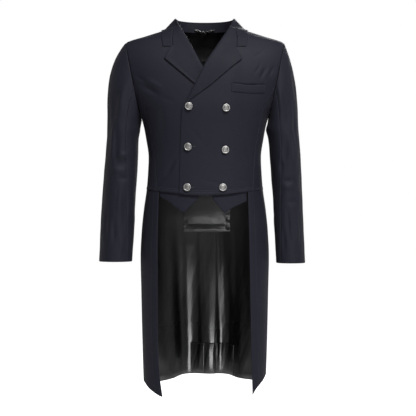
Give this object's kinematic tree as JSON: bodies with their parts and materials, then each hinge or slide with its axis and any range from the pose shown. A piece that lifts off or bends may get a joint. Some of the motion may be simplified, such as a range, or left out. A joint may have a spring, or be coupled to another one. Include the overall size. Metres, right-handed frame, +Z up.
{
  "type": "dressage tailcoat",
  "caption": "Double-breasted dressage tailcoat filled out as worn, with notched lapels, long open tails, vest points at the front hem and hollow straight sleeves.",
  "frame": {"origin": "between the shoulders at the root of the neck, at the height of the shoulder seams, where the wearer's shoulders carry the coat", "axes": "+X towards the wearer's left sleeve, -Y out of the coat's front, +Z up"},
  "size_m": [0.5839, 0.2561, 1.0649],
  "materials": {
    "navy_cloth": "matte twill wool blend",
    "black_lining": "matte",
    "coated_lining": "smooth coated, satin sheen",
    "satin": "satin weave",
    "button_metal": "pewter"
  },
  "bodies": {
    "root": {"back_left": "navy_cloth", "back_lining_left": "coated_lining", "back_lining_right": "coated_lining", "back_right": "navy_cloth", "button_left_middle": "button_metal", "button_left_top": "button_metal", "button_left_waist": "button_metal", "button_right_middle": "button_metal", "button_right_top": "button_metal", "button_right_waist": "button_metal", "chest_welt": "navy_cloth", "collar": "navy_cloth", "collar_stand": "navy_cloth", "front_left": "navy_cloth", "front_right": "navy_cloth", "hanger_loop": "satin", "inner_apron": "satin", "lapel_left": "navy_cloth", "lapel_right": "navy_cloth", "side_left": "navy_cloth", "side_right": "navy_cloth", "sleeve_top_left": "navy_cloth", "sleeve_top_right": "navy_cloth", "sleeve_under_left": "navy_cloth", "sleeve_under_right": "navy_cloth", "tail_back_left": "navy_cloth", "tail_back_right": "navy_cloth", "tail_lining_left": "coated_lining", "tail_lining_right": "coated_lining", "tail_side_left": "navy_cloth", "tail_side_right": "navy_cloth", "vest_point_left": "navy_cloth", "vest_point_right": "navy_cloth", "weight_pocket_centre": "coated_lining", "weight_pocket_left": "coated_lining", "weight_pocket_right": "coated_lining", "yoke_lining_left": "black_lining", "yoke_lining_right": "black_lining"}
  },
  "joints": []
}
